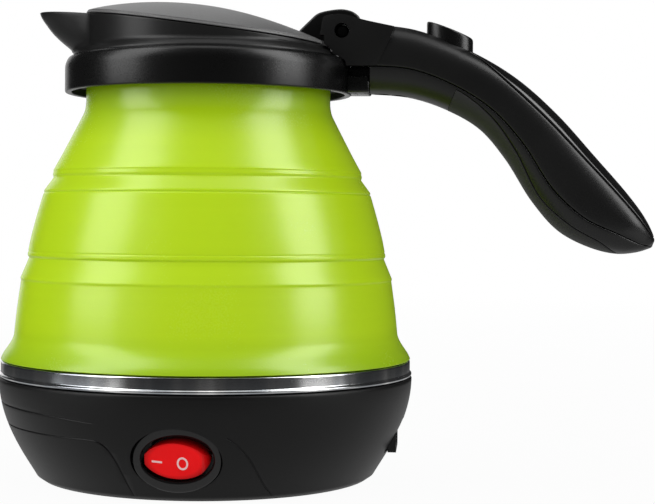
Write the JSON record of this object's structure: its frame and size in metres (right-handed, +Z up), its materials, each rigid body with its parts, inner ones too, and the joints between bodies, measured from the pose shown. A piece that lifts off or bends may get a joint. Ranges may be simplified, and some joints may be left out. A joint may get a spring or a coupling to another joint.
{
  "type": "folding travel kettle",
  "caption": "Electric travel kettle: a folding silicone body between a heated base and a black top with spout, hinged lid, side handle, release button and rocker switch.",
  "frame": {"origin": "centre of the underside of the base plate", "axes": "+Z up; +X along the handle, the spout points to -X; the rocker switch faces -Y"},
  "size_m": [0.2053, 0.13, 0.15],
  "materials": {
    "black_plastic": "satin black with fine grain",
    "gloss_black": "polished black",
    "soft_grip": "soft-touch black",
    "lime_silicone": "satin lime silicone",
    "clear_silicone": "translucent pale silicone",
    "rubber_feet": "dull black rubber",
    "stainless_steel": "polished stainless steel",
    "spring_steel": "bright spring wire",
    "plated_steel": "zinc plated",
    "cast_aluminium": "as cast",
    "brass_contacts": "plain brass",
    "ceramic": "unglazed off-white",
    "red_lens": "translucent red, polished"
  },
  "bodies": {
    "base": {"base_housing": "black_plastic", "base_plate": "black_plastic", "foot_1": "rubber_feet", "foot_2": "rubber_feet", "foot_3": "rubber_feet", "base_screw_1": "plated_steel", "base_screw_2": "plated_steel", "base_screw_3": "plated_steel", "heater_pot": "stainless_steel", "clamp_ring": "stainless_steel", "heat_spreader": "cast_aluminium", "heating_element": "stainless_steel", "element_pin_1": "plated_steel", "element_pin_2": "plated_steel", "thermostat": "ceramic", "thermostat_bracket": "plated_steel", "switch_body": "black_plastic", "switch_terminal_1": "brass_contacts", "switch_terminal_2": "brass_contacts", "mains_inlet": "black_plastic", "inlet_pin_line": "brass_contacts", "inlet_pin_neutral": "brass_contacts", "inlet_pin_earth": "brass_contacts", "lower_sleeve": "lime_silicone", "middle_fold": "lime_silicone"},
    "top": {"upper_sleeve": "lime_silicone", "collar": "black_plastic", "spout_ring": "black_plastic", "hinge_pin": "plated_steel", "lid_spring": "spring_steel", "handle_upper_shell": "black_plastic", "handle_lower_shell": "black_plastic", "grip_pad": "soft_grip", "top_inlay": "gloss_black", "handle_screw_1": "plated_steel", "handle_screw_2": "plated_steel", "button_spring": "spring_steel", "bolt_spring": "spring_steel"},
    "lid": {"lid_dome": "black_plastic", "lid_liner": "black_plastic", "lid_seal": "clear_silicone"},
    "button": {"release_button": "black_plastic"},
    "bolt": {"release_bolt": "black_plastic"},
    "rocker": {"rocker": "red_lens"}
  },
  "joints": [
    {"name": "collapse", "type": "slide", "parent": "base", "child": "top", "axis": [0, 0, -1], "range_m": [0, 0.0408], "deforming": ["middle_fold"]},
    {"name": "lid_hinge", "type": "hinge", "parent": "top", "child": "lid", "pos_m": [0.0427, 0, 0.1392], "axis": [0, 1, 0], "range_deg": [0, 75]},
    {"name": "button_press", "type": "slide", "parent": "top", "child": "button", "axis": [0, 0, -1], "range_m": [0, 0.0025], "stiffness_N_per_m": 400, "springref_m": -0.002, "deforming": ["button_spring"]},
    {"name": "bolt_slide", "type": "slide", "parent": "top", "child": "bolt", "axis": [1, 0, 0], "range_m": [0, 0.0025], "stiffness_N_per_m": 200, "springref_m": -0.0015, "deforming": ["bolt_spring"]},
    {"name": "rocker_tilt", "type": "hinge", "parent": "base", "child": "rocker", "pos_m": [0, -0.05612, 0.01403], "axis": [0, -0.2756, 0.9613], "range_deg": [0, 14]}
  ],
  "couplings": [
    {"joint": "bolt_slide", "follows": "button_press", "ratio": 1}
  ]
}
